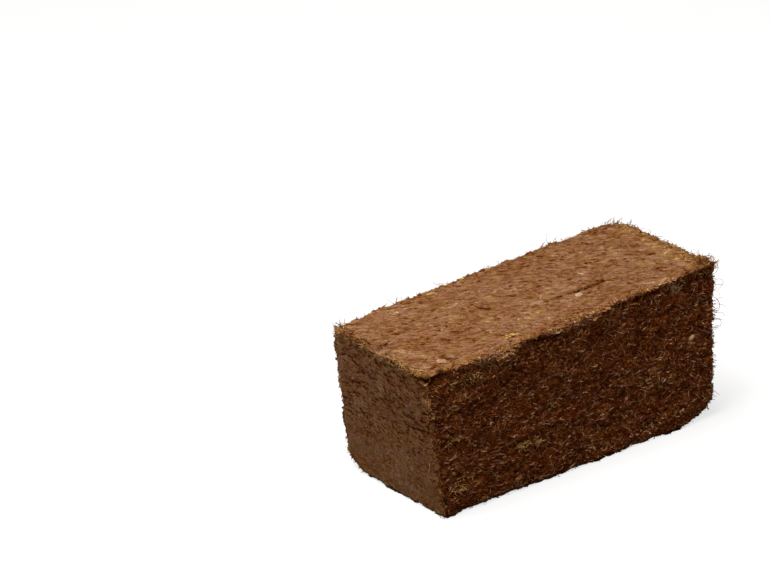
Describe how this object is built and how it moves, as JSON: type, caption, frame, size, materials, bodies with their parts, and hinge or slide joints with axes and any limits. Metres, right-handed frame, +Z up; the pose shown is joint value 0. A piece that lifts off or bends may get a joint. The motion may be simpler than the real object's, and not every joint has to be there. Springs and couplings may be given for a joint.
{
  "type": "coconut coir bale",
  "caption": "Small bale of compressed coconut coir: a lumpy, slightly crooked rectangular block with pressed top and ends, torn fibrous long sides and broken bottom corners.",
  "frame": {"origin": "middle of the bale's box, on the surface that it lies on", "axes": "+X along the length, from the leaning left end to the taller right end; +Y from the front to the back; +Z up"},
  "size_m": [0.2058, 0.097, 0.0971],
  "materials": {
    "coir": "matt, fibrous"
  },
  "bodies": {
    "root": {"coir_bale": "coir"}
  },
  "joints": []
}
